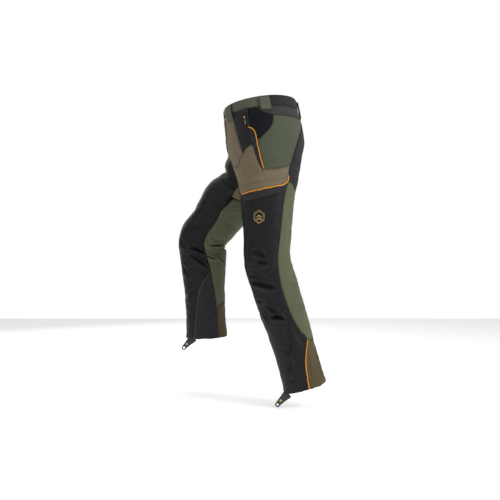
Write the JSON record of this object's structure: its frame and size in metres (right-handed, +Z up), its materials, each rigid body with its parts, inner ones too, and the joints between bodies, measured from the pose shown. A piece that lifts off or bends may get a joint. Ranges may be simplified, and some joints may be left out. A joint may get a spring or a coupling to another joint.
{
  "type": "protective work trousers",
  "caption": "Panelled stretch work trousers in a walking stance, with belt loops, zipped hip pockets, vented thighs, inner leg pads and boot tabs.",
  "frame": {"origin": "middle of the waist opening, at the level of the waistband's top edge at the side", "axes": "+Z up, the trousers' front faces -Y, the wearer's left is +X"},
  "size_m": [0.376, 0.5391, 1.1369],
  "materials": {
    "brown_stretch": "matt brown four-way stretch weave",
    "calf_brown": "matt brown hard-wearing weave",
    "hip_green": "matt dark green stretch weave",
    "leg_green": "matt light green stretch weave",
    "waist_green": "matt green band cloth",
    "black_stretch": "matt black stretch weave",
    "black_shell": "black coated shell cloth with a faint grid",
    "navy_mesh": "dark honeycomb mesh",
    "grey_knit": "dark grey ribbed knit",
    "protective_felt": "pale layered long-fibre felt",
    "boot_rubber": "satin dark rubber",
    "copper_hardware": "satin copper plating",
    "olive_cord": "matt olive"
  },
  "bodies": {
    "pelvis": {"back_yoke": "grey_knit", "belt_loop_back": "waist_green", "belt_loop_front_left": "waist_green", "belt_loop_front_right": "waist_green", "belt_loop_side_left": "waist_green", "belt_loop_side_right": "waist_green", "fly_placket": "brown_stretch", "front_panel_left": "brown_stretch", "front_panel_right": "brown_stretch", "groin_front_left": "black_shell", "groin_front_right": "black_shell", "hip_panel_left": "hip_green", "hip_panel_right": "hip_green", "inner_thigh_left": "brown_stretch", "inner_thigh_right": "brown_stretch", "pocket_front_left": "black_stretch", "pocket_front_right": "black_stretch", "pocket_side_left": "black_stretch", "pocket_side_right": "black_stretch", "pocket_zip_left": "navy_mesh", "pocket_zip_right": "navy_mesh", "seat_left": "black_stretch", "seat_right": "black_stretch", "side_panel_left": "brown_stretch", "side_panel_right": "brown_stretch", "under_seat_left": "black_stretch", "under_seat_right": "black_stretch", "vent_mesh_left": "navy_mesh", "vent_mesh_right": "navy_mesh", "waistband_back": "black_stretch", "waistband_front_left": "waist_green", "waistband_front_right": "waist_green"},
    "waist_tab": {"waist_tab": "waist_green"},
    "fly_slider": {"fly_slider": "copper_hardware"},
    "thigh_left": {"thigh_front_left": "black_shell", "back_thigh_left": "leg_green", "knee_front_left": "black_shell", "back_knee_left": "leg_green", "thigh_pad_left": "protective_felt"},
    "shin_left": {"shin_front_left": "black_shell", "back_calf_left": "leg_green", "hem_panel_left": "calf_brown", "inner_gusset_left": "navy_mesh", "shin_pad_left": "protective_felt"},
    "boot_tab_left": {"boot_tab_left": "boot_rubber"},
    "pocket_slider_left": {"pocket_slider_left": "copper_hardware"},
    "pocket_puller_left": {"pocket_puller_left": "olive_cord"},
    "thigh_right": {"thigh_front_right": "black_shell", "back_thigh_right": "leg_green", "knee_front_right": "black_shell", "back_knee_right": "leg_green", "thigh_pad_right": "protective_felt"},
    "shin_right": {"shin_front_right": "black_shell", "back_calf_right": "leg_green", "hem_panel_right": "calf_brown", "inner_gusset_right": "navy_mesh", "shin_pad_right": "protective_felt"},
    "boot_tab_right": {"boot_tab_right": "boot_rubber"},
    "pocket_slider_right": {"pocket_slider_right": "copper_hardware"},
    "pocket_puller_right": {"pocket_puller_right": "olive_cord"}
  },
  "joints": [
    {"name": "hip_left", "type": "hinge", "parent": "pelvis", "child": "thigh_left", "pos_m": [0.098, 0.012, -0.2224], "axis": [-1, 0, 0], "range_deg": [-15, 45], "deforming": ["side_panel_left", "vent_mesh_left", "groin_front_left", "under_seat_left", "inner_thigh_left"]},
    {"name": "knee_left", "type": "hinge", "parent": "thigh_left", "child": "shin_left", "pos_m": [0.098, 0.0255, -0.59], "axis": [1, 0, 0], "range_deg": [-14, 50], "deforming": ["knee_front_left", "back_knee_left"]},
    {"name": "boot_tab_left", "type": "hinge", "parent": "shin_left", "child": "boot_tab_left", "pos_m": [0.11319, 0.09164, -1.07557], "axis": [0, 0.7986, -0.6018], "range_deg": [-35, 35]},
    {"name": "pocket_slider_left", "type": "slide", "parent": "pelvis", "child": "pocket_slider_left", "axis": [0.201, 0.1932, -0.9603], "range_m": [0, 0.055]},
    {"name": "pocket_puller_left", "type": "hinge", "parent": "pocket_slider_left", "child": "pocket_puller_left", "pos_m": [0.16087, -0.05747, -0.08404], "axis": [-0.485, -0.8321, -0.269], "range_deg": [0, 120]},
    {"name": "hip_right", "type": "hinge", "parent": "pelvis", "child": "thigh_right", "pos_m": [-0.098, -0.018, -0.2054], "axis": [-1, 0, 0], "range_deg": [-45, 15], "deforming": ["side_panel_right", "vent_mesh_right", "groin_front_right", "under_seat_right", "inner_thigh_right"]},
    {"name": "knee_right", "type": "hinge", "parent": "thigh_right", "child": "shin_right", "pos_m": [-0.098, -0.2194, -0.51321], "axis": [1, 0, 0], "range_deg": [-36, 30], "deforming": ["knee_front_right", "back_knee_right"]},
    {"name": "boot_tab_right", "type": "hinge", "parent": "shin_right", "child": "boot_tab_right", "pos_m": [-0.11319, -0.27191, -0.90205], "axis": [0, 0.7986, -0.6018], "range_deg": [-35, 35]},
    {"name": "pocket_slider_right", "type": "slide", "parent": "pelvis", "child": "pocket_slider_right", "axis": [-0.201, 0.1932, -0.9603], "range_m": [0, 0.055]},
    {"name": "pocket_puller_right", "type": "hinge", "parent": "pocket_slider_right", "child": "pocket_puller_right", "pos_m": [-0.16087, -0.05747, -0.08404], "axis": [-0.485, 0.8321, 0.269], "range_deg": [0, 120]},
    {"name": "waist_tab", "type": "hinge", "parent": "pelvis", "child": "waist_tab", "pos_m": [0.016, -0.13759, -0.03886], "axis": [0, -0.0637, 0.998], "range_deg": [0, 75]},
    {"name": "fly_slider", "type": "slide", "parent": "pelvis", "child": "fly_slider", "axis": [0, 0.0954, -0.9954], "range_m": [0, 0.1]}
  ]
}
